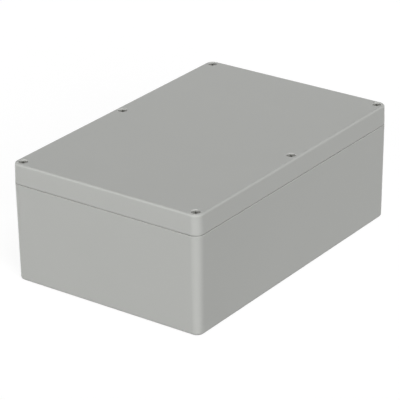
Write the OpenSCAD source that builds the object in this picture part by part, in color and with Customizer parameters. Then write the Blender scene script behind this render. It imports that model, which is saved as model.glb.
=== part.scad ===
// Plastic enclosure with a screw-on lid: a deep moulded base, a shallow moulded lid,
// a gasket between them and six captive lid screws in threaded inserts.
// The origin is at the centre of the underside, X runs along the length and Z points up.

/* [Enclosure] */
// Length along X, at the parting line
body_length = 240; // [200:1:320]
// Width along Y, at the parting line
body_width = 160; // [140:1:240]
// Height from the underside to the top of the lid
body_height = 90; // [70:1:160]
// Height of the lid above the parting line
lid_height = 15.5; // [15:0.5:24]
// Thickness of the base's floor
floor_thickness = 3; // [2.5:0.1:5]
// Thickness of the lid's plate
lid_plate = 3; // [2.5:0.1:3.5]
// Radius of the upright corners, at the parting line
corner_radius = 6.5; // [5.5:0.5:9]
// Inward lean of each base wall, over its whole height
base_taper = 0.9; // [0.3:0.1:1.5]
// Inward lean of each lid wall, over its whole height
lid_taper = 0.34; // [0.2:0.02:0.6]
// Radius of the edge around the underside
base_edge_radius = 2; // [1:0.1:2.5]
// Radius of the edge around the lid's top
lid_edge_radius = 1.6; // [0.8:0.1:2]
// Chamfer of the lid's edge at the parting line
lid_chamfer = 0.75; // [0.4:0.05:1]
// Chamfer of the base's edge at the parting line
rim_chamfer = 0.2; // [0.1:0.05:0.5]
// Radius of the edge around the floor, inside the base
floor_fillet = 1.5; // [0.5:0.1:2]

/* [Seal] */
// Thickness of the lid's skirt, outside the gasket channel
skirt = 1.7; // [1.5:0.1:1.9]
// Thickness of the base's tongue
tongue = 1.5; // [1.3:0.1:1.8]
// Thickness of the gasket, between the tongue and the lid's plate
gasket_thickness = 4; // [3:0.25:5]
// Clearance between the tongue and each side of the channel
seal_gap = 0.3; // [0.3:0.05:0.4]
// Thickness of the lid's rib, inside the gasket channel
rib = 1.5; // [1.2:0.1:1.8]
// Height of the lid's rib below the lid's plate
rib_height = 8; // [6:0.5:9]
// Clearance between the gasket and each side of the channel
gasket_fit = 0.05; // [0.02:0.01:0.1]
// Radius of plastic around each screw, out to the gasket channel
tube_radius = 5.75; // [5.5:0.05:6.5]
// Radius of the rib's inside face, where the seal leaves a wall to pass a column
rib_bend = 0.6; // [0.3:0.05:0.9]

/* [Lid screws] */
// Distance of each screw's axis from the outside faces
screw_inset = 6.25; // [6:0.05:7]
// Diameter of the screw head
head_diameter = 6; // [5.6:0.1:6.6]
// Height of the screw head
head_height = 2.6; // [2.2:0.1:3]
// Depth of the head's top below the lid's top
head_recess = 0.8; // [0.4:0.1:1.2]
// Clearance around the screw head in its well
head_gap = 0.25; // [0.2:0.05:0.4]
// Size of the chamfer around each well
well_chamfer = 0.35; // [0.2:0.05:0.7]
// Thickness of the lid's web below the screw head
web = 3; // [2.5:0.1:3.2]
// Diameter of the screw's thread
thread_diameter = 4; // [3.6:0.1:4.2]
// Length of the screw's thread
thread_length = 6; // [5:0.1:6.4]
// Diameter of the screw's neck above the thread
neck_diameter = 3.1; // [2.6:0.1:3.2]
// Clearance around the thread in the lid's web
web_gap = 0.25; // [0.2:0.05:0.3]
// Width of each arm of the cross recess in the head
cross_width = 1.1; // [0.7:0.1:1.3]
// Span of the cross recess
cross_span = 4.2; // [3:0.1:4.4]
// Depth of the cross recess
cross_depth = 1.6; // [1.2:0.1:1.8]

/* [Retaining rings] */
// Outside diameter of a retaining ring
ring_diameter = 7.2; // [6:0.1:7.4]
// Thickness of a retaining ring
ring_thickness = 1.4; // [1:0.1:1.6]
// Clearance of the ring above the base, and above the thread
ring_gap = 0.3; // [0.2:0.05:0.5]
// Running clearance of the ring on the neck
ring_fit = 0.05; // [0.02:0.01:0.1]
// Clearance around the ring in the lid's pocket
pocket_gap = 0.4; // [0.3:0.05:0.5]

/* [Threaded inserts] */
// Outside diameter of an insert
insert_diameter = 5.6; // [5.4:0.1:6]
// Length of an insert
insert_length = 8; // [6:0.5:12]
// Depth of the insert's top below the base's rim
insert_sink = 0.4; // [0.2:0.1:0.8]
// Depth of the hole beyond the insert
insert_relief = 0.8; // [0.4:0.1:2]
// Clearance between the insert and its hole
insert_fit = 0.02; // [0.01:0.01:0.05]
// Running clearance of the thread in the insert
thread_fit = 0.06; // [0.03:0.01:0.1]

/* [Mounting] */
// Distance along Y from each corner screw to the wall-mounting hole beside it
mount_offset = 11.25; // [11:0.25:16]
// Diameter of the wall-mounting holes
mount_diameter = 4.5; // [3.5:0.1:5.5]
// Thickness of plastic below the mounting screw's head
mount_seat = 5; // [3.5:0.5:8]
// Diameter of the channel for the mounting screw's head
channel_diameter = 7.4; // [7:0.1:8]
// Depth of the pocket above each channel, in the lid
lid_core = 9; // [6:0.5:10]
// Inset of the floor bosses from the short sides
boss_inset_x = 20; // [20:1:40]
// Inset of the floor bosses from the long sides
boss_inset_y = 25; // [22:1:40]
// Diameter of the floor bosses
boss_diameter = 8; // [7:0.5:9]
// Height of the floor bosses above the floor
boss_height = 8; // [7:0.5:14]
// Diameter of the pilot hole in each floor boss
pilot_diameter = 3.3; // [2.5:0.1:4]
// Depth of the pilot holes
pilot_depth = 7; // [5:0.5:9]

/* [Colours] */
// Colour of the base and the lid
shell_colour = "#AEB0AD";
// Colour of the gasket
gasket_colour = "#3A3B3C";
// Colour of the screws
screw_colour = "#A7A9AA";
// Colour of the retaining rings
ring_colour = "#E4E2DA";
// Colour of the inserts
insert_colour = "#B8964C";

/* [Hidden] */
$fn = 64;
// How far a cut runs past the face that it opens
over = 1;
// The height of the parting line
rim_z = body_height - lid_height;
// The wall thickness at the parting line
wall = skirt + seal_gap + tongue;
// The depth of the cavity's corner axes, inside the corner columns
cavity_corner = 12;
// The underside of the lid's plate, and the top of the base's tongue
plate_z = body_height - lid_plate;
tongue_z = plate_z - gasket_thickness;
// The distances of the seal's faces from the outside face
channel_out = skirt;
tongue_out = skirt + seal_gap;
tongue_in = tongue_out + tongue;
channel_in = tongue_in + seal_gap;
rib_in = channel_in + rib;
// The radius of the seal's bends, measured on the outside face
bend_radius = rib_in + rib_bend;
// The heights on a screw, from the top down
head_z = body_height - head_recess;
seat_z = head_z - head_height;
web_z = seat_z - web;
ring_z = rim_z + ring_gap;
thread_z = ring_z - ring_gap;
// The axes of the screws, of the mounting holes and of the floor bosses
screw_x = body_length / 2 - screw_inset;
screw_y = body_width / 2 - screw_inset;
mount_y = screw_y - mount_offset;
boss_x = body_length / 2 - boss_inset_x;
boss_y = body_width / 2 - boss_inset_y;
flips = [0, 1];
places = [
    ["front_left", -screw_x, -screw_y],
    ["front_middle", 0, -screw_y],
    ["front_right", screw_x, -screw_y],
    ["rear_left", -screw_x, screw_y],
    ["rear_middle", 0, screw_y],
    ["rear_right", screw_x, screw_y],
];

// A child in each of the four quadrants
module quadrants() {
    for (flip_x = flips, flip_y = flips)
        mirror([flip_x, 0, 0]) mirror([0, flip_y, 0]) children();
}

// A child at each screw
module at_screws() {
    for (p = places) translate([p[1], p[2]]) children();
}

// A child at each wall-mounting hole
module at_mounts() {
    quadrants() translate([screw_x, mount_y, 0]) children();
}

// A wall's section: it leans out from the foot to the top, with a round edge at the foot
// and a chamfer at the top
module wall_section(foot, top, height, r, chamfer) {
    lean = atan((top - foot) / height);
    round_x = foot - r * (1 - sin(lean)) / cos(lean);
    polygon([
        [0, 0],
        [round_x, 0],
        [round_x + r * cos(lean), r - r * sin(lean)],
        [top - chamfer * tan(lean), height - chamfer],
        [top - chamfer, height],
        [0, height],
    ]);
    translate([round_x, r]) circle(r);
}

// A block with leaning walls, round upright corners, a round edge at the foot and a chamfer
// at the top: the corners' axes stand at one depth from the outside faces
module drafted_block(corner, foot_in, top_in, height, r, chamfer) {
    x = body_length / 2 - corner;
    y = body_width / 2 - corner;
    translate([-x, -y, 0]) cube([2 * x, 2 * y, height]);
    for (turn = [0, 180]) rotate(turn) {
        translate([x, 0, 0]) rotate([90, 0, 0]) linear_extrude(2 * y, center = true)
            wall_section(corner - foot_in, corner - top_in, height, r, chamfer);
        translate([0, y, 0]) rotate([90, 0, 90]) linear_extrude(2 * x, center = true)
            wall_section(corner - foot_in, corner - top_in, height, r, chamfer);
        translate([x, y, 0]) rotate_extrude(angle = 90)
            wall_section(corner - foot_in, corner - top_in, height, r, chamfer);
        translate([-x, y, 0]) rotate(90) rotate_extrude(angle = 90)
            wall_section(corner - foot_in, corner - top_in, height, r, chamfer);
    }
}

// The plan inside the seal at a distance from the outside face: it bends around the columns
module seal_plan(inset) {
    grown = tube_radius + inset - channel_out;
    bend = bend_radius - inset;
    half_x = body_length / 2 - inset;
    half_y = body_width / 2 - inset;
    difference() {
        square([2 * half_x, 2 * half_y], center = true);
        quadrants() {
            translate([screw_x, mount_y]) circle(grown);
            translate([screw_x - grown, mount_y]) square([half_x, half_y]);
            translate([screw_x, mount_y - grown]) square([half_x, half_y]);
            translate([screw_x - grown, half_y]) bend_fill(bend, -1);
            translate([grown, half_y]) bend_fill(bend, 1);
            translate([half_x, mount_y - grown]) bend_fill(bend, -1);
        }
        for (flip_y = flips) mirror([0, flip_y, 0]) {
            translate([0, screw_y]) circle(grown);
            translate([-grown, screw_y]) square([2 * grown, half_y]);
        }
    }
}

// The fillet in a corner of the seal's plan, on the side given
module bend_fill(r, side) {
    difference() {
        translate([side < 0 ? -r : 0, -r]) square([r, r]);
        translate([side * r, -r]) circle(r);
    }
}

// The space inside the base
module base_cavity() {
    height = tongue_z - floor_thickness + over;
    lean = base_taper / rim_z;
    foot_in = wall + lean * (rim_z - floor_thickness);
    top_in = foot_in - lean * height;
    translate([0, 0, floor_thickness]) intersection() {
        linear_extrude(height) seal_plan(tongue_in);
        drafted_block(cavity_corner, foot_in, top_in, height, floor_fillet, 0);
    }
}

module base() {
    boss_top = floor_thickness + boss_height;
    color(shell_colour) difference() {
        union() {
            difference() {
                union() {
                    drafted_block(corner_radius, base_taper, 0, rim_z, base_edge_radius, rim_chamfer);
                    translate([0, 0, rim_z - over])
                        linear_extrude(tongue_z - rim_z + over) seal_plan(tongue_out);
                }
                base_cavity();
            }
            quadrants() translate([boss_x, boss_y, floor_thickness - over])
                cylinder(d = boss_diameter, h = boss_height + over);
        }
        quadrants() translate([boss_x, boss_y, boss_top - pilot_depth])
            cylinder(d = pilot_diameter, h = pilot_depth + over);
        at_mounts() {
            translate([0, 0, -over]) cylinder(d = mount_diameter, h = mount_seat + 2 * over);
            translate([0, 0, mount_seat]) cylinder(d = channel_diameter, h = rim_z);
        }
        at_screws() translate([0, 0, rim_z - insert_sink - insert_length - insert_relief])
            cylinder(r = insert_diameter / 2 + insert_fit, h = body_height);
    }
}

module lid() {
    well_r = head_diameter / 2 + head_gap;
    color(shell_colour) difference() {
        union() {
            difference() {
                translate([0, 0, body_height]) mirror([0, 0, 1])
                    drafted_block(corner_radius, lid_taper, 0, lid_height, lid_edge_radius, lid_chamfer);
                translate([0, 0, rim_z - over])
                    linear_extrude(plate_z - rim_z + over) seal_plan(channel_out);
            }
            translate([0, 0, plate_z - rib_height]) linear_extrude(rib_height + over) difference() {
                seal_plan(channel_in);
                seal_plan(rib_in);
            }
        }
        at_screws() {
            translate([0, 0, seat_z]) cylinder(r = well_r, h = body_height);
            translate([0, 0, body_height - well_chamfer])
                cylinder(r1 = well_r, r2 = well_r + well_chamfer + over, h = well_chamfer + over);
            translate([0, 0, rim_z]) cylinder(r = thread_diameter / 2 + web_gap, h = lid_height);
            translate([0, 0, rim_z - over])
                cylinder(r = ring_diameter / 2 + pocket_gap, h = web_z - rim_z + over);
        }
        at_mounts() translate([0, 0, rim_z - over]) cylinder(d = channel_diameter, h = lid_core + over);
    }
}

module gasket() {
    color(gasket_colour) translate([0, 0, tongue_z]) linear_extrude(gasket_thickness) difference() {
        seal_plan(channel_out + gasket_fit);
        seal_plan(channel_in - gasket_fit);
    }
}

module lid_screw() {
    color(screw_colour) difference() {
        union() {
            translate([0, 0, seat_z]) cylinder(d = head_diameter, h = head_height);
            translate([0, 0, thread_z - over]) cylinder(d = neck_diameter, h = seat_z - thread_z + 2 * over);
            translate([0, 0, thread_z - thread_length]) cylinder(d = thread_diameter, h = thread_length);
        }
        for (turn = [45, 135]) rotate(turn) translate([0, 0, head_z])
            cube([cross_span, cross_width, 2 * cross_depth], center = true);
    }
}

module retaining_ring() {
    color(ring_colour) translate([0, 0, ring_z]) difference() {
        cylinder(d = ring_diameter, h = ring_thickness);
        translate([0, 0, -over])
            cylinder(r = neck_diameter / 2 + ring_fit, h = ring_thickness + 2 * over);
    }
}

module threaded_insert() {
    color(insert_colour) translate([0, 0, rim_z - insert_sink - insert_length]) difference() {
        cylinder(d = insert_diameter, h = insert_length);
        translate([0, 0, -over])
            cylinder(r = thread_diameter / 2 + thread_fit, h = insert_length + 2 * over);
    }
}

base();
lid();
gasket();
for (p = places) translate([p[1], p[2]]) {
    lid_screw();
    retaining_ring();
    threaded_insert();
}
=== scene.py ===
"""Looks, camera and light for a grey plastic enclosure with a lid on six captive screws.

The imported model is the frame. The moulded pieces keep their solids and get their finish here. The
small metal and nylon pieces are modelled again with the detail that their plain solids leave out.
"""

from __future__ import annotations

import logging
import math
from collections.abc import Callable, Iterator
from contextlib import contextmanager
from dataclasses import dataclass
from enum import Enum

import bpy
from mathutils import Matrix, Vector


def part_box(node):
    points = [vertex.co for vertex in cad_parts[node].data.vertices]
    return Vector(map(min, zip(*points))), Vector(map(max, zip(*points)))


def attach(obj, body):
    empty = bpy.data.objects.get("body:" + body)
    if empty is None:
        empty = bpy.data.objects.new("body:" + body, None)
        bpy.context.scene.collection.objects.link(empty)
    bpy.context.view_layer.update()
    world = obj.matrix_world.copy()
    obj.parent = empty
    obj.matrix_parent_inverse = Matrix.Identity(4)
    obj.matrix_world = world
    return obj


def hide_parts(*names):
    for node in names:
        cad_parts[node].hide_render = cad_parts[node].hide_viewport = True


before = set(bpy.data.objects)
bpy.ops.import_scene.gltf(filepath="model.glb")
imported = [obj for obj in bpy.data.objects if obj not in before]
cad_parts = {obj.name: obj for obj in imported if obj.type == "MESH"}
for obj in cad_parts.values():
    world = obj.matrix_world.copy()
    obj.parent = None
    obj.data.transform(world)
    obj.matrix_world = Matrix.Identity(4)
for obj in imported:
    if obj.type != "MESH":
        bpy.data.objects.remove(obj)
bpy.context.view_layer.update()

MM = 0.001
MERGE = 0.001 * MM
SMOOTH_ANGLE = math.radians(30)
NOISE_DETAIL = 2.0
NOISE_ROUGHNESS = 0.5
SUBSURFACE_DEPTH = 1.0 * MM
LOG = logging.getLogger("enclosure")

# The mix node's sockets share their names, so they are told apart by number.
MIX_SHARE = 0
VALUE_A, VALUE_B, VALUE_OUT = 2, 3, 0
COLOUR_A, COLOUR_B, COLOUR_OUT = 6, 7, 2


class Place(Enum):
    """Where a lid screw stands, with its retaining ring and its insert on the same axis."""

    FRONT_LEFT = "front_left"
    FRONT_MIDDLE = "front_middle"
    FRONT_RIGHT = "front_right"
    REAR_LEFT = "rear_left"
    REAR_MIDDLE = "rear_middle"
    REAR_RIGHT = "rear_right"


class Join(Enum):
    """What becomes of a piece and the tool that meets it."""

    ADD = "UNION"
    CUT = "DIFFERENCE"
    COMMON = "INTERSECT"


# Materials


def linear(colour: str) -> tuple[float, float, float, float]:
    """Turns an sRGB colour into the linear values that a shader socket takes.

    Args:
        colour: A hex value such as "#A9AAA7".

    Returns:
        Red, green, blue and an alpha of 1.
    """
    channels = [int(colour[i : i + 2], 16) / 255 for i in (1, 3, 5)]
    r, g, b = (c / 12.92 if c <= 0.04045 else ((c + 0.055) / 1.055) ** 2.4 for c in channels)
    return r, g, b, 1.0


def add_node(
    tree: bpy.types.NodeTree,
    kind: str,
    settings: dict[str | int, object] | None = None,
    links: dict[str | int, bpy.types.NodeSocket] | None = None,
) -> bpy.types.Node:
    """Adds one shader node.

    Args:
        tree: The tree that gets the node.
        kind: The node's type name.
        settings: Values by the name of a property, or by the name or number of an input.
        links: Output sockets by the name or number of the input that they feed.

    Returns:
        The new node.
    """
    node = tree.nodes.new(kind)
    for key, value in (settings or {}).items():
        if isinstance(key, int) or key in node.inputs:
            node.inputs[key].default_value = value
        else:
            setattr(node, key, value)
    for key, source in (links or {}).items():
        tree.links.new(source, node.inputs[key])
    return node


@dataclass(frozen=True)
class Finish:
    """A real material: its colour, its gloss and the fine pattern of its surface.

    Both noises are on Object coordinates, so they stay on a piece that moves. The cloud mixes the
    two colours in broad patches, and the grain gives the surface its fine unevenness.
    """

    name: str
    colour: str
    shade: str
    roughness: float
    roughness_spread: float
    cloud_mm: float
    grain_mm: float
    grain_height_mm: float
    metallic: float = 0.0
    specular: float = 0.5
    subsurface: float = 0.0

    def material(self) -> bpy.types.Material:
        """Makes the finish's material, or finds it if it is made already.

        Returns:
            The material.
        """
        made = bpy.data.materials.get(self.name)
        if made:
            return made
        made = bpy.data.materials.new(self.name)
        made.use_nodes = True
        tree = made.node_tree
        tree.nodes.clear()
        place = add_node(tree, "ShaderNodeTexCoord").outputs["Object"]
        cloud = self.noise(tree, place, self.cloud_mm)
        grain = self.noise(tree, place, self.grain_mm)
        tint = add_node(
            tree,
            "ShaderNodeMix",
            {"data_type": "RGBA", COLOUR_A: linear(self.colour), COLOUR_B: linear(self.shade)},
            {MIX_SHARE: cloud},
        ).outputs[COLOUR_OUT]
        least = self.roughness - self.roughness_spread
        most = self.roughness + self.roughness_spread
        gloss = add_node(
            tree,
            "ShaderNodeMapRange",
            {"To Min": least, "To Max": most},
            {"Value": grain},
        ).outputs[0]
        bump = add_node(
            tree,
            "ShaderNodeBump",
            {"Strength": 1.0, "Distance": self.grain_height_mm * MM},
            {"Height": grain},
        ).outputs[0]
        shader = add_node(
            tree,
            "ShaderNodeBsdfPrincipled",
            {
                "Metallic": self.metallic,
                "Specular IOR Level": self.specular,
                "Subsurface Weight": self.subsurface,
                "Subsurface Scale": SUBSURFACE_DEPTH,
            },
            {"Base Color": tint, "Roughness": gloss, "Normal": bump},
        ).outputs[0]
        add_node(tree, "ShaderNodeOutputMaterial", None, {"Surface": shader})
        return made

    def noise(
        self, tree: bpy.types.NodeTree, place: bpy.types.NodeSocket, size_mm: float
    ) -> bpy.types.NodeSocket:
        """Adds a noise whose lumps are about the given size.

        Args:
            tree: The tree that gets the noise.
            place: The coordinates that it is drawn on.
            size_mm: The size of a lump.

        Returns:
            The noise's value, around one half.
        """
        return add_node(
            tree,
            "ShaderNodeTexNoise",
            {
                "Scale": 1 / (size_mm * MM),
                "Detail": NOISE_DETAIL,
                "Roughness": NOISE_ROUGHNESS,
            },
            {"Vector": place},
        ).outputs[0]

    def dress(self, piece: bpy.types.Object) -> None:
        """Gives the piece this finish and no other."""
        piece.data.materials.clear()
        piece.data.materials.append(self.material())


# Moulded ABS: an even light grey, half matt, with soft broad highlights along its rounded edges.
# The mould's spark-eroded grain is about 0.1 mm, too fine to show, so it is drawn at 0.6 mm.
SHELL_ABS = Finish(
    "moulded_abs",
    colour="#ACADAA",
    shade="#AAABA8",
    roughness=0.46,
    roughness_spread=0.06,
    cloud_mm=45.0,
    grain_mm=0.6,
    grain_height_mm=0.03,
    specular=0.3,
)
# Gasket rubber: dark and dull, with the slightly open skin of a cut foam strip.
GASKET_RUBBER = Finish(
    "gasket_rubber",
    colour="#343537",
    shade="#2B2C2E",
    roughness=0.82,
    roughness_spread=0.06,
    cloud_mm=12.0,
    grain_mm=0.7,
    grain_height_mm=0.05,
)
# Stainless steel, cold headed: a cool metal whose fine grain breaks up what it mirrors.
SCREW_STEEL = Finish(
    "stainless_steel",
    colour="#90908C",
    shade="#82827D",
    roughness=0.36,
    roughness_spread=0.08,
    cloud_mm=2.5,
    grain_mm=0.35,
    grain_height_mm=0.003,
    metallic=1.0,
)
# The same steel where the recess is punched: duller, and painted darker as shade, standing in for
# the shadow that falls in the recess.
RECESS_SHADE_STEEL = Finish(
    "steel_with_painted_recess_shade",
    colour="#7A7A74",
    shade="#6A6A64",
    roughness=0.55,
    roughness_spread=0.08,
    cloud_mm=1.0,
    grain_mm=0.3,
    grain_height_mm=0.004,
    metallic=1.0,
)
# Natural nylon: milky, half glossy, and a little see-through at its thin edges.
RING_NYLON = Finish(
    "natural_nylon",
    colour="#E6E2D6",
    shade="#DDD8C8",
    roughness=0.42,
    roughness_spread=0.05,
    cloud_mm=4.0,
    grain_mm=0.5,
    grain_height_mm=0.004,
    subsurface=0.3,
)
# Turned brass: warm yellow, with the broken gloss that turning and rolling leave.
INSERT_BRASS = Finish(
    "turned_brass",
    colour="#C2A25C",
    shade="#A98A48",
    roughness=0.33,
    roughness_spread=0.08,
    cloud_mm=3.0,
    grain_mm=0.4,
    grain_height_mm=0.004,
    metallic=1.0,
)


# Shaping


@contextmanager
def editing(
    piece: bpy.types.Object, chosen: Callable[[Vector], bool] | None = None
) -> Iterator[None]:
    """Opens a piece in edit mode for a block of operators.

    Args:
        piece: The piece to shape.
        chosen: Says for a vertex whether it is selected. All of them are if it is left out.

    Yields:
        Nothing.
    """
    bpy.ops.object.select_all(action="DESELECT")
    piece.select_set(True)
    bpy.context.view_layer.objects.active = piece
    bpy.ops.object.mode_set(mode="EDIT")
    bpy.ops.mesh.select_all(action="DESELECT")
    bpy.ops.object.mode_set(mode="OBJECT")
    for vertex in piece.data.vertices:
        vertex.select = chosen is None or chosen(vertex.co)
    bpy.ops.object.mode_set(mode="EDIT")
    yield
    bpy.ops.object.mode_set(mode="OBJECT")


def close_up() -> None:
    """Merges what meets in the mesh being edited, and turns its faces outwards."""
    bpy.ops.mesh.select_all(action="SELECT")
    bpy.ops.mesh.remove_doubles(threshold=MERGE)
    bpy.ops.mesh.normals_make_consistent(inside=False)


def drawn(name: str, profile: list[tuple[float, float]]) -> bpy.types.Object:
    """Draws a profile as a chain of edges in the XZ plane.

    Args:
        name: The new piece's name.
        profile: Radius and height of each corner in order, in millimetres.

    Returns:
        The piece.
    """
    bpy.ops.mesh.primitive_plane_add(size=MM)
    piece = bpy.context.object
    piece.name = name
    corners = [Vector((radius * MM, 0, height * MM)) for radius, height in profile]
    with editing(piece):
        bpy.ops.mesh.merge(type="CENTER")
        bpy.ops.transform.translate(value=corners[0])
        for here, there in zip(corners, corners[1:]):
            bpy.ops.mesh.extrude_region_move(TRANSFORM_OT_translate={"value": there - here})
    return piece


def turned(name: str, profile: list[tuple[float, float]], sides: int) -> bpy.types.Object:
    """Turns a profile about the Z axis, as on a lathe.

    Args:
        name: The new piece's name.
        profile: Radius and height of each corner in order, in millimetres, from the axis back to
            the axis, or from the first corner back to it.
        sides: The number of sides around the axis.

    Returns:
        The closed piece.
    """
    piece = drawn(name, profile)
    with editing(piece):
        bpy.ops.mesh.spin(steps=sides, angle=2 * math.pi, center=(0, 0, 0), axis=(0, 0, 1))
        close_up()
    return piece


@dataclass(frozen=True)
class Thread:
    """A right-hand thread around the Z axis, in millimetres.

    Its profile is a flat at the root, a slope up to the crest, a narrow flat there, and a slope
    down to the next turn's root. The shares say how far up the pitch each of the first three ends.
    """

    root: float
    crest: float
    pitch: float
    low: float
    high: float
    sides: int = 40
    root_share: float = 1 / 4
    rise_share: float = 9 / 16
    crest_share: float = 11 / 16
    spare_turns: int = 2

    def solid(self, name: str) -> bpy.types.Object:
        """Makes the threaded rod.

        Args:
            name: The new piece's name.

        Returns:
            The closed piece, cut flat at both ends.
        """
        start = self.low - self.spare_turns * self.pitch
        piece = drawn(
            name,
            [
                (self.root, start),
                (self.root, start + self.root_share * self.pitch),
                (self.crest, start + self.rise_share * self.pitch),
                (self.crest, start + self.crest_share * self.pitch),
                (self.root, start + self.pitch),
            ],
        )
        coil = piece.modifiers.new("coil", "SCREW")
        coil.screw_offset = self.pitch * MM
        turns = math.ceil((self.high - self.low) / self.pitch)
        coil.iterations = turns + self.spare_turns + 1
        coil.steps = self.sides
        coil.render_steps = self.sides
        bpy.ops.object.modifier_apply(modifier=coil.name)
        with editing(piece):
            close_up()
            for height, way in ((self.low, -1), (self.high, 1)):
                bpy.ops.mesh.select_all(action="SELECT")
                bpy.ops.mesh.bisect(
                    plane_co=(0, 0, height * MM),
                    plane_no=(0, 0, way),
                    use_fill=True,
                    clear_outer=True,
                    threshold=MERGE,
                )
            close_up()
        return piece


def combine(piece: bpy.types.Object, tool: bpy.types.Object, how: Join) -> None:
    """Joins, cuts or trims a piece with a tool, and removes the tool.

    Args:
        piece: The piece that stays.
        tool: The closed piece that it meets.
        how: What becomes of them.
    """
    step = piece.modifiers.new("step", "BOOLEAN")
    step.operation = how.value
    step.solver = "EXACT"
    step.object = tool
    bpy.context.view_layer.objects.active = piece
    bpy.ops.object.modifier_apply(modifier=step.name)
    bpy.data.objects.remove(tool)
    with editing(piece):
        close_up()


def copied(master: bpy.types.Object, name: str, axis: Vector) -> bpy.types.Object:
    """Copies a piece that is modelled on the Z axis to another upright axis.

    Args:
        master: The piece to copy.
        name: The copy's name.
        axis: A point on the new axis, at height 0.

    Returns:
        The copy, with its own mesh and its place in that mesh.
    """
    bpy.ops.object.select_all(action="DESELECT")
    master.select_set(True)
    bpy.context.view_layer.objects.active = master
    bpy.ops.object.duplicate(linked=False)
    piece = bpy.context.object
    piece.name = piece.data.name = name
    piece.location = axis
    bpy.ops.object.transform_apply(location=True, rotation=False, scale=False)
    bpy.ops.object.shade_smooth_by_angle(angle=SMOOTH_ANGLE)
    return piece


def quarter_round(
    radius: float, height: float, r: float, facets: int
) -> list[tuple[float, float]]:
    """Lists the corners of a rounded top edge, from the outside face up to the top face.

    Args:
        radius: The radius of the outside face, in millimetres.
        height: The height of the top face.
        r: The edge's own radius.
        facets: The number of its facets.

    Returns:
        Radius and height of each corner.
    """
    angles = [math.pi / 2 * i / facets for i in range(facets + 1)]
    return [(radius - r + r * math.cos(a), height - r + r * math.sin(a)) for a in angles]


# Pieces


@dataclass(frozen=True)
class Housing:
    """The moulded base and lid and the gasket between them, which keep their solids."""

    finishes: tuple[tuple[str, Finish], ...] = (
        ("base", SHELL_ABS),
        ("lid", SHELL_ABS),
        ("gasket", GASKET_RUBBER),
    )

    def build(self) -> None:
        """Gives each solid its finish."""
        for node, finish in self.finishes:
            finish.dress(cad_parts[node])


@dataclass(frozen=True)
class Fastener:
    """A small piece that is modelled once and stands at each of the six places."""

    node: str
    body: str
    slot: str
    finish: Finish

    def span(self) -> tuple[float, float, float]:
        """Measures the piece's solid in the frame.

        Returns:
            Its radius, its lowest point and its highest point, in millimetres.
        """
        low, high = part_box(f"{self.node}_{Place.FRONT_LEFT.value}")
        return (high.x - low.x) / 2 / MM, low.z / MM, high.z / MM

    def master(self) -> bpy.types.Object:
        """Models the piece on the Z axis, at its own height."""
        raise NotImplementedError

    def dress(self, master: bpy.types.Object) -> None:
        """Gives the piece its finish."""
        self.finish.dress(master)

    def build(self) -> None:
        """Models the piece, and puts a copy of it in place of each of its solids."""
        master = self.master()
        self.dress(master)
        for place in Place:
            node = f"{self.node}_{place.value}"
            low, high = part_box(node)
            axis = Vector(((low.x + high.x) / 2, (low.y + high.y) / 2, 0))
            piece = copied(master, f"{node}_finished", axis)
            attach(piece, self.body.format(place.value))
            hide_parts(node)
        LOG.info("%s: %d faces each", self.node, len(master.data.polygons))
        bpy.data.objects.remove(master)


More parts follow.
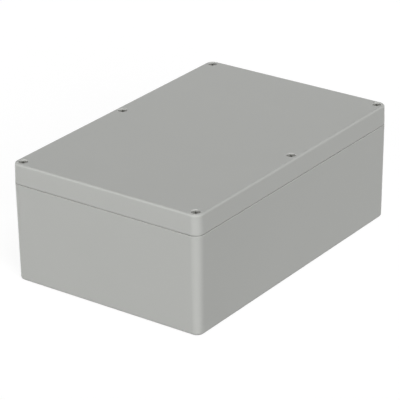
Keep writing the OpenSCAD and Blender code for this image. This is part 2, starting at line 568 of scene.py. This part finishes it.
@dataclass(frozen=True)
class LidScrew(Fastener):
    """A captive screw: a low round head with a cross recess, a thin neck and a short thread."""

    node: str = "lid_screw"
    body: str = "screw_{}"
    slot: str = "screw"
    finish: Finish = SCREW_STEEL
    sides: int = 64
    head_height: float = 2.6
    head_round: float = 0.4
    head_facets: int = 6
    neck_diameter: float = 3.1
    thread_length: float = 6.0
    thread_diameter: float = 4.0
    thread_depth: float = 0.4
    thread_pitch: float = 0.7
    point_chamfer: float = 0.6
    cross_span: float = 4.2
    cross_width: float = 1.1
    cross_depth: float = 1.6
    cross_taper: float = 0.6
    cross_turn_deg: float = 45.0

    def master(self) -> bpy.types.Object:
        """Models the screw on the Z axis.

        Returns:
            The screw.
        """
        head_radius, point, top = self.span()
        seat = top - self.head_height
        thread_top = point + self.thread_length
        neck = self.neck_diameter / 2
        neck_end = thread_top - self.thread_length / 2
        screw = turned(
            "screw_master",
            [
                (0, neck_end),
                (neck, neck_end),
                (neck, seat),
                (head_radius, seat),
                *quarter_round(head_radius, top, self.head_round, self.head_facets),
                (0, top),
            ],
            self.sides,
        )
        combine(screw, self.threaded_end(point, thread_top), Join.ADD)
        for turn in (self.cross_turn_deg, self.cross_turn_deg + 90):
            combine(screw, self.recess_arm(top, math.radians(turn)), Join.CUT)
        return screw

    def dress(self, master: bpy.types.Object) -> None:
        """Gives the screw its finish, and the faces of its recess a darker steel that paints the
        shade in the recess.

        Args:
            master: The screw, on the Z axis.
        """
        super().dress(master)
        slots = master.data.materials
        slots.append(RECESS_SHADE_STEEL.material())
        painted_shade_slot = len(slots) - 1
        _, _, top = self.span()
        reach = self.cross_span / 2 * MM
        # The recess faces get the darker steel: painted shade where the recess lies in shadow.
        for face in master.data.polygons:
            middle = face.center
            in_head = (top - self.head_height) * MM < middle.z < top * MM - MERGE
            if in_head and middle.xy.length < reach:
                face.material_index = painted_shade_slot

    def threaded_end(self, point: float, top: float) -> bpy.types.Object:
        """Models the thread, trimmed to a chamfered point and a sloping shoulder.

        Args:
            point: The height of the screw's end.
            top: The height of the thread's upper end.

        Returns:
            The threaded end.
        """
        crest = self.thread_diameter / 2
        root = crest - self.thread_depth
        pitch = self.thread_pitch
        end = Thread(root, crest, pitch, point - pitch, top + pitch).solid("thread")
        chamfer = self.point_chamfer
        outline = turned(
            "thread_outline",
            [
                (0, point),
                (crest - chamfer, point),
                (crest + chamfer, point + 2 * chamfer),
                (crest + chamfer, top - 2 * chamfer),
                (crest - chamfer, top),
                (0, top),
            ],
            self.sides,
        )
        combine(end, outline, Join.COMMON)
        return end

    def recess_arm(self, top: float, turn: float) -> bpy.types.Object:
        """Models the tool for one arm of the cross recess.

        Args:
            top: The height of the head's top.
            turn: The arm's direction, as an angle from X.

        Returns:
            A block that narrows downwards.
        """
        bpy.ops.mesh.primitive_cube_add(
            size=1,
            location=(0, 0, top * MM),
            rotation=(0, 0, turn),
            scale=(self.cross_span * MM, self.cross_width * MM, 2 * self.cross_depth * MM),
        )
        arm = bpy.context.object
        bpy.ops.object.transform_apply()
        with editing(arm, lambda corner: corner.z < top * MM):
            bpy.ops.transform.resize(
                value=(self.cross_taper, self.cross_taper, 1), center_override=(0, 0, top * MM)
            )
        return arm


@dataclass(frozen=True)
class RetainingRing(Fastener):
    """The nylon ring that keeps a screw in the lid."""

    node: str = "retaining_ring"
    body: str = "ring_{}"
    slot: str = "ring"
    finish: Finish = RING_NYLON
    sides: int = 64
    bore_diameter: float = 3.2
    edge_round: float = 0.35
    edge_facets: int = 5

    def master(self) -> bpy.types.Object:
        """Models the ring on the Z axis.

        Returns:
            The ring.
        """
        radius, low, high = self.span()
        bore = self.bore_diameter / 2
        upper = quarter_round(radius, high, self.edge_round, self.edge_facets)
        lower = [(r, low + high - height) for r, height in reversed(upper)]
        outline = [(bore, low), *lower, *upper, (bore, high), (bore, low)]
        return turned("ring_master", outline, self.sides)


@dataclass(frozen=True)
class ThreadedInsert(Fastener):
    """A brass insert: two knurled bands with a groove between them, around a threaded bore."""

    node: str = "threaded_insert"
    body: str = "base"
    slot: str = "insert"
    finish: Finish = INSERT_BRASS
    teeth: int = 30
    tooth_depth: float = 0.15
    end_land: float = 0.5
    groove_width: float = 1.4
    groove_depth: float = 0.4
    bore_diameter: float = 4.12
    thread_depth: float = 0.25
    thread_pitch: float = 0.7
    tap_relief: float = 0.05

    def master(self) -> bpy.types.Object:
        """Models the insert on the Z axis.

        Returns:
            The insert.
        """
        radius, low, high = self.span()
        bore = self.bore_diameter / 2
        land = radius - 2 * self.tooth_depth
        groove = radius - self.groove_depth
        middle = (low + high) / 2
        half = self.groove_width / 2
        insert = turned(
            "insert_master",
            [
                (bore, low),
                (land, low),
                (land, low + self.end_land),
                (radius, low + self.end_land),
                (radius, middle - half),
                (groove, middle - half),
                (groove, middle + half),
                (radius, middle + half),
                (radius, high - self.end_land),
                (land, high - self.end_land),
                (land, high),
                (bore, high),
                (bore, low),
            ],
            2 * self.teeth,
        )
        self.knurl(insert, radius)
        core = bore - self.tap_relief
        crest = bore + self.thread_depth
        pitch = self.thread_pitch
        tap = Thread(core, crest, pitch, low - pitch, high + pitch)
        combine(insert, tap.solid("tap"), Join.CUT)
        return insert

    def knurl(self, insert: bpy.types.Object, radius: float) -> None:
        """Presses every second line of the bands inwards.

        Args:
            insert: The plain insert.
            radius: The radius of its bands.
        """
        step = math.pi / self.teeth

        def in_valley(corner: Vector) -> bool:
            """Says whether a corner is on a band, on a line that is pressed in."""
            on_band = corner.xy.length > (radius - self.tooth_depth) * MM
            return on_band and round(math.atan2(corner.y, corner.x) / step) % 2 == 1

        share = 1 - self.tooth_depth / radius
        with editing(insert, in_valley):
            bpy.ops.transform.resize(value=(share, share, 1), center_override=(0, 0, 0))


# Camera and light


def direction(azimuth_deg: float, elevation_deg: float) -> Vector:
    """Finds the direction from the enclosure to something around it.

    Args:
        azimuth_deg: The angle around it, from the front towards the right-hand end.
        elevation_deg: The angle above the floor.

    Returns:
        A vector of length 1.
    """
    azimuth = math.radians(azimuth_deg)
    elevation = math.radians(elevation_deg)
    level = math.cos(elevation)
    return Vector((math.sin(azimuth) * level, -math.cos(azimuth) * level, math.sin(elevation)))


@dataclass(frozen=True)
class PhotoCamera:
    """The camera of the photograph, as fitted to the enclosure's outline."""

    azimuth_deg: float = -54.122
    elevation_deg: float = 24.484
    roll_deg: float = -0.692
    distance: float = 1607.7 * MM
    target: tuple[float, float, float] = (-6.99 * MM, -0.10 * MM, 39.32 * MM)
    focal_px: float = 2229.7
    image_px: float = 400.0
    sensor_mm: float = 36.0

    def build(self) -> None:
        """Adds the camera and makes it the scene's own."""
        back = direction(self.azimuth_deg, self.elevation_deg)
        right = Vector((0, 0, 1)).cross(back).normalized()
        roll = Matrix.Rotation(math.radians(self.roll_deg), 3, back)
        axes = Matrix((roll @ right, roll @ back.cross(right), back)).transposed()
        bpy.ops.object.camera_add()
        camera = bpy.context.object
        camera.name = "photo_camera"
        spot = Vector(self.target) + back * self.distance
        camera.matrix_world = Matrix.Translation(spot) @ axes.to_4x4()
        camera.data.sensor_fit = "HORIZONTAL"
        camera.data.sensor_width = self.sensor_mm
        camera.data.lens = self.focal_px / self.image_px * self.sensor_mm
        bpy.context.scene.camera = camera


@dataclass(frozen=True)
class Lamp:
    """A soft lamp, far off and turned towards the enclosure.

    It lights matt surfaces only. What is glossy mirrors the white surround instead, so that no
    side of the enclosure glares.
    """

    name: str
    strength: float
    azimuth_deg: float
    elevation_deg: float
    spread_deg: float = 30.0
    distance: float = 2.0

    def build(self) -> None:
        """Adds the lamp."""
        towards = direction(self.azimuth_deg, self.elevation_deg)
        bpy.ops.object.light_add(
            type="SUN",
            location=self.distance * towards,
            rotation=towards.to_track_quat("Z", "Y").to_euler(),
        )
        lamp = bpy.context.object
        lamp.name = self.name
        lamp.data.energy = self.strength
        lamp.data.angle = math.radians(self.spread_deg)
        lamp.visible_glossy = False


@dataclass(frozen=True)
class Studio:
    """A pale floor, a white surround, three soft lamps and two low ones for the far sides."""

    floor_size: float = 12.0
    floor_drop: float = 0.2 * MM
    floor_glow: float = 0.90
    floor_colour: str = "#666666"
    floor_bounce: str = "#3A3A3A"
    surround: float = 0.05
    backdrop: float = 1.0
    lamps: tuple[Lamp, ...] = (
        Lamp("key_lamp", strength=2.35, azimuth_deg=-35.0, elevation_deg=20.0),
        Lamp("top_lamp", strength=1.34, azimuth_deg=-25.0, elevation_deg=60.0),
        Lamp("left_lamp", strength=2.19, azimuth_deg=-105.0, elevation_deg=5.0),
        Lamp("right_fill", strength=2.40, azimuth_deg=95.0, elevation_deg=2.0, spread_deg=4.0),
        Lamp("rear_fill", strength=2.60, azimuth_deg=175.0, elevation_deg=2.0, spread_deg=4.0),
    )

    def build(self) -> None:
        """Adds the floor, the surround and the lamps."""
        self.add_floor()
        self.add_surround()
        for lamp in self.lamps:
            lamp.build()
        bpy.context.scene.view_settings.view_transform = "Standard"

    def plainly_seen(self, tree: bpy.types.NodeTree) -> bpy.types.NodeSocket:
        """Adds the test for a ray that shows the background: straight, off gloss or through.

        Args:
            tree: The tree that gets the test.

        Returns:
            A socket that is 1 for such a ray and 0 for one that lights a matt surface.
        """
        ray = add_node(tree, "ShaderNodeLightPath").outputs
        straight_or_gloss = add_node(
            tree,
            "ShaderNodeMath",
            {"operation": "MAXIMUM"},
            {0: ray["Is Camera Ray"], 1: ray["Is Glossy Ray"]},
        ).outputs[0]
        return add_node(
            tree,
            "ShaderNodeMath",
            {"operation": "MAXIMUM"},
            {0: straight_or_gloss, 1: ray["Is Transmission Ray"]},
        ).outputs[0]

    def add_floor(self) -> None:
        """Adds the floor: white to look at with a faint shadow, and a weak light from below."""
        bpy.ops.mesh.primitive_plane_add(
            size=self.floor_size, location=(0, 0, -self.floor_drop)
        )
        floor = bpy.context.object
        floor.name = "studio_floor"
        paint = bpy.data.materials.new("studio_white")
        paint.use_nodes = True
        tree = paint.node_tree
        tree.nodes.clear()
        seen = self.plainly_seen(tree)
        bounce = linear(self.floor_bounce)
        colour = linear(self.floor_colour)
        tone = add_node(
            tree,
            "ShaderNodeMix",
            {"data_type": "RGBA", COLOUR_A: bounce, COLOUR_B: colour},
            {MIX_SHARE: seen},
        ).outputs[COLOUR_OUT]
        matt = add_node(tree, "ShaderNodeBsdfDiffuse", None, {"Color": tone}).outputs[0]
        strength = add_node(
            tree,
            "ShaderNodeMath",
            {"operation": "MULTIPLY", 1: self.floor_glow},
            {0: seen},
        ).outputs[0]
        glow = add_node(tree, "ShaderNodeEmission", None, {"Strength": strength}).outputs[0]
        both = add_node(tree, "ShaderNodeAddShader", None, {0: matt, 1: glow}).outputs[0]
        add_node(tree, "ShaderNodeOutputMaterial", None, {"Surface": both})
        floor.data.materials.append(paint)

    def add_surround(self) -> None:
        """Makes the world white to look at and an even soft fill as a light."""
        world = bpy.data.worlds.new("studio_surround")
        world.use_nodes = True
        tree = world.node_tree
        tree.nodes.clear()
        strength = add_node(
            tree,
            "ShaderNodeMix",
            {"data_type": "FLOAT", VALUE_A: self.surround, VALUE_B: self.backdrop},
            {MIX_SHARE: self.plainly_seen(tree)},
        ).outputs[VALUE_OUT]
        light = add_node(
            tree,
            "ShaderNodeBackground",
            {"Color": (1, 1, 1, 1)},
            {"Strength": strength},
        ).outputs[0]
        add_node(tree, "ShaderNodeOutputWorld", None, {"Surface": light})
        bpy.context.scene.world = world


def main() -> None:
    """Builds the pieces, the camera and the studio in order."""
    logging.basicConfig(level=logging.INFO, format="%(name)s: %(message)s")
    bpy.ops.object.select_all(action="DESELECT")
    pieces = (Housing(), LidScrew(), RetainingRing(), ThreadedInsert())
    for part in (*pieces, PhotoCamera(), Studio()):
        part.build()
        LOG.info("%s built", type(part).__name__)


if __name__ == "__main__":
    main()
